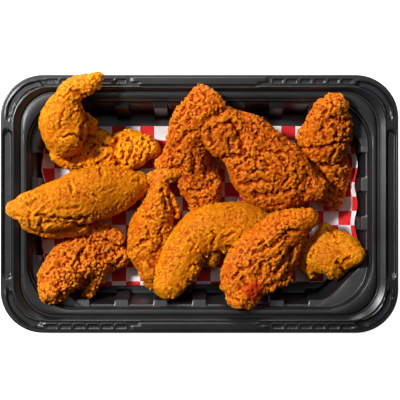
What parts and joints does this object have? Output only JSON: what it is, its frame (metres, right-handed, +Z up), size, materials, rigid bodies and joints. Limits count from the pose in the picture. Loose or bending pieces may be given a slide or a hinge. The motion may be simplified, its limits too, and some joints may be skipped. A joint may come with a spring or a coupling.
{
  "type": "tray of fried chicken tenders",
  "caption": "Craggy fried chicken tenders heaped in a black plastic takeaway tray lined with red and white check paper.",
  "frame": {"origin": "centre of the tray's flat underside", "axes": "+X along the tray's long side, +Y towards the long side that the tallest tenders lean on, +Z up"},
  "size_m": [0.325, 0.2112, 0.0689],
  "materials": {
    "tray_plastic": "thermoformed black polypropylene, satin",
    "check_paper": "greaseproof paper printed with a red and white check",
    "fried_crust": "deep-fried flour crust, golden, craggy, slightly oily"
  },
  "bodies": {
    "root": {"tray": "tray_plastic", "paper_liner": "check_paper", "tender_low": "fried_crust", "tender_middle": "fried_crust", "tender_upright": "fried_crust", "tender_ragged": "fried_crust", "tender_leaning": "fried_crust", "tender_round": "fried_crust", "tender_curved": "fried_crust", "tender_long": "fried_crust", "tender_hooked": "fried_crust", "tender_broad": "fried_crust", "tender_top": "fried_crust"}
  },
  "joints": []
}
